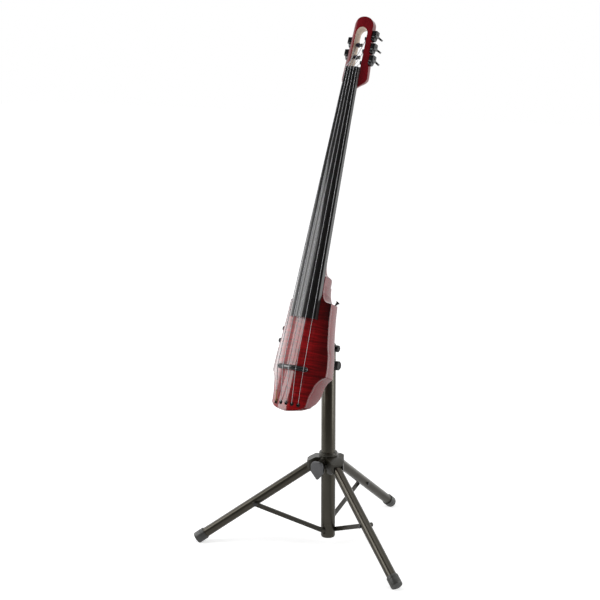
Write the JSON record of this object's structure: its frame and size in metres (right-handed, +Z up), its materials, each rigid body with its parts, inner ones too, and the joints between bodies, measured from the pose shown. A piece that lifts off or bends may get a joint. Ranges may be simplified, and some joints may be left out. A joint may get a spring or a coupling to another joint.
{
  "type": "electric cello on stand",
  "caption": "Slim electric cello with slotted head and arched top, carried by a folding tripod stand with tilt head, telescoping pole and sliding leg hub.",
  "frame": {"origin": "on the ground, in the middle of the whole object's bounding box", "axes": "+Z up, the cello's front faces -Y, +X to the viewer's right"},
  "size_m": [0.562, 0.5116, 1.235],
  "materials": {
    "flamed_top": "glossy red stain over curled maple",
    "red_wood": "glossy red",
    "ebony": "oiled black",
    "black_plastic": "satin",
    "string_steel": "wound steel",
    "polished_metal": "polished",
    "dark_steel": "dull grey",
    "black_metal": "black satin",
    "stand_tube": "black satin paint",
    "stand_casting": "dark grey paint",
    "rubber": "matte",
    "brass": "satin"
  },
  "bodies": {
    "stand_pole": {"pole": "stand_tube", "pole_foot": "stand_tube"},
    "hub": {"hub": "stand_casting", "hub_ring": "stand_casting"},
    "wing_bolt": {"wing_bolt": "dark_steel"},
    "upper_tube": {"upper_tube": "stand_tube"},
    "height_lock_knob": {"height_lock_knob": "black_metal"},
    "tilt_knob": {"tilt_knob": "black_metal"},
    "leg_1": {"leg_1": "stand_tube", "foot_cap_1": "rubber", "strut_bolt_1": "black_metal"},
    "strut_1": {"strut_1": "stand_casting"},
    "leg_2": {"leg_2": "stand_tube", "foot_cap_2": "rubber", "strut_bolt_2": "black_metal"},
    "strut_2": {"strut_2": "stand_casting"},
    "leg_3": {"leg_3": "stand_tube", "foot_cap_3": "rubber", "strut_bolt_3": "black_metal"},
    "strut_3": {"strut_3": "stand_casting"},
    "cello": {"top_plate": "flamed_top", "output_jack": "polished_metal", "strap_pin": "black_metal", "body_core": "red_wood", "control_cover": "black_plastic", "fingerboard": "ebony", "nut": "black_plastic", "tuner_housing_1": "black_metal", "tuner_housing_2": "black_metal", "tuner_housing_3": "black_metal", "tuner_housing_4": "black_metal", "tuner_housing_5": "black_metal", "neck": "red_wood", "bridge_base": "black_plastic", "pickup_strip": "black_plastic", "bridge_saddle": "black_plastic", "bridge_stud_left": "polished_metal", "bridge_stud_right": "polished_metal", "string_1": "string_steel", "string_2": "string_steel", "string_3": "string_steel", "string_4": "string_steel", "string_5": "string_steel", "string_anchor": "brass", "mounting_arm": "black_metal", "mounting_screw_1": "polished_metal", "mounting_screw_2": "polished_metal"},
    "tuner_button_1": {"tuner_button_1": "black_metal"},
    "string_post_1": {"string_post_1": "black_metal"},
    "tuner_button_2": {"tuner_button_2": "black_metal"},
    "string_post_2": {"string_post_2": "black_metal"},
    "tuner_button_3": {"tuner_button_3": "black_metal"},
    "string_post_3": {"string_post_3": "black_metal"},
    "tuner_button_4": {"tuner_button_4": "black_metal"},
    "string_post_4": {"string_post_4": "black_metal"},
    "tuner_button_5": {"tuner_button_5": "black_metal"},
    "string_post_5": {"string_post_5": "black_metal"},
    "volume_knob": {"volume_knob": "black_metal"},
    "tone_knob": {"tone_knob": "black_metal"}
  },
  "joints": [
    {"name": "height_slide", "type": "slide", "parent": "stand_pole", "child": "upper_tube", "axis": [0, 0, 1], "range_m": [0, 0.15]},
    {"name": "height_lock_turn", "type": "hinge", "parent": "stand_pole", "child": "height_lock_knob", "pos_m": [0.019, -0.06561, 0.4413], "axis": [1, 0, 0], "range_deg": [0, 360]},
    {"name": "tilt", "type": "hinge", "parent": "upper_tube", "child": "cello", "pos_m": [0, -0.06561, 0.4818], "axis": [1, 0, 0], "range_deg": [-15, 22]},
    {"name": "tilt_knob_turn", "type": "hinge", "parent": "upper_tube", "child": "tilt_knob", "pos_m": [0, -0.06561, 0.4818], "axis": [1, 0, 0], "range_deg": [0, 360]},
    {"name": "hub_slide", "type": "slide", "parent": "stand_pole", "child": "hub", "axis": [0, 0, 1], "range_m": [0, 0.1]},
    {"name": "wing_bolt_turn", "type": "hinge", "parent": "hub", "child": "wing_bolt", "pos_m": [0, -0.11161, 0.2088], "axis": [0, -1, 0], "range_deg": [0, 360]},
    {"name": "leg_1_fold", "type": "hinge", "parent": "hub", "child": "leg_1", "pos_m": [0, -0.03261, 0.202], "axis": [-1, 0, 0], "range_deg": [0, 18.5]},
    {"name": "strut_1_fold", "type": "hinge", "parent": "stand_pole", "child": "strut_1", "pos_m": [0, -0.05361, 0.0388], "axis": [1, 0, 0], "range_deg": [0, 23.9]},
    {"name": "leg_2_fold", "type": "hinge", "parent": "hub", "child": "leg_2", "pos_m": [-0.02858, -0.08211, 0.202], "axis": [0.5, -0.866, 0], "range_deg": [0, 18.5]},
    {"name": "strut_2_fold", "type": "hinge", "parent": "stand_pole", "child": "strut_2", "pos_m": [-0.01039, -0.07161, 0.0388], "axis": [-0.5, 0.866, 0], "range_deg": [0, 23.9]},
    {"name": "leg_3_fold", "type": "hinge", "parent": "hub", "child": "leg_3", "pos_m": [0.02858, -0.08211, 0.202], "axis": [0.5, 0.866, 0], "range_deg": [0, 18.5]},
    {"name": "strut_3_fold", "type": "hinge", "parent": "stand_pole", "child": "strut_3", "pos_m": [0.01039, -0.07161, 0.0388], "axis": [-0.5, -0.866, 0], "range_deg": [0, 23.9]},
    {"name": "tuner_1_turn", "type": "hinge", "parent": "cello", "child": "tuner_button_1", "pos_m": [-0.03199, 0.08289, 1.14604], "axis": [0, 0.9257, -0.3783], "continuous": true},
    {"name": "post_1_turn", "type": "hinge", "parent": "cello", "child": "string_post_1", "pos_m": [-0.02799, 0.06784, 1.14225], "axis": [1, 0, 0], "continuous": true},
    {"name": "tuner_2_turn", "type": "hinge", "parent": "cello", "child": "tuner_button_2", "pos_m": [-0.02958, 0.09405, 1.17335], "axis": [0, 0.9257, -0.3783], "continuous": true},
    {"name": "post_2_turn", "type": "hinge", "parent": "cello", "child": "string_post_2", "pos_m": [-0.02558, 0.079, 1.16956], "axis": [1, 0, 0], "continuous": true},
    {"name": "tuner_3_turn", "type": "hinge", "parent": "cello", "child": "tuner_button_3", "pos_m": [0.02866, 0.1001, 1.18816], "axis": [0, 0.9257, -0.3783], "continuous": true},
    {"name": "post_3_turn", "type": "hinge", "parent": "cello", "child": "string_post_3", "pos_m": [0.02466, 0.08505, 1.18437], "axis": [1, 0, 0], "continuous": true},
    {"name": "tuner_4_turn", "type": "hinge", "parent": "cello", "child": "tuner_button_4", "pos_m": [0.03072, 0.08875, 1.16039], "axis": [0, 0.9257, -0.3783], "continuous": true},
    {"name": "post_4_turn", "type": "hinge", "parent": "cello", "child": "string_post_4", "pos_m": [0.02672, 0.0737, 1.1566], "axis": [1, 0, 0], "continuous": true},
    {"name": "tuner_5_turn", "type": "hinge", "parent": "cello", "child": "tuner_button_5", "pos_m": [0.03306, 0.07797, 1.13401], "axis": [0, 0.9257, -0.3783], "continuous": true},
    {"name": "post_5_turn", "type": "hinge", "parent": "cello", "child": "string_post_5", "pos_m": [0.02906, 0.06292, 1.13022], "axis": [1, 0, 0], "continuous": true},
    {"name": "volume_turn", "type": "hinge", "parent": "cello", "child": "volume_knob", "pos_m": [-0.05906, -0.15007, 0.53506], "axis": [-1, 0, 0], "range_deg": [-150, 150]},
    {"name": "tone_turn", "type": "hinge", "parent": "cello", "child": "tone_knob", "pos_m": [-0.06242, -0.16067, 0.50914], "axis": [-1, 0, 0], "range_deg": [-150, 150]}
  ],
  "couplings": [
    {"joint": "leg_1_fold", "follows": "hub_slide", "rad_per_m": 3.1887},
    {"joint": "strut_1_fold", "follows": "hub_slide", "rad_per_m": 4.1382},
    {"joint": "leg_2_fold", "follows": "hub_slide", "rad_per_m": 3.1887},
    {"joint": "strut_2_fold", "follows": "hub_slide", "rad_per_m": 4.1382},
    {"joint": "leg_3_fold", "follows": "hub_slide", "rad_per_m": 3.1887},
    {"joint": "strut_3_fold", "follows": "hub_slide", "rad_per_m": 4.1382},
    {"joint": "post_1_turn", "follows": "tuner_1_turn", "ratio": 0.071429},
    {"joint": "post_2_turn", "follows": "tuner_2_turn", "ratio": 0.071429},
    {"joint": "post_3_turn", "follows": "tuner_3_turn", "ratio": 0.071429},
    {"joint": "post_4_turn", "follows": "tuner_4_turn", "ratio": 0.071429},
    {"joint": "post_5_turn", "follows": "tuner_5_turn", "ratio": 0.071429}
  ]
}
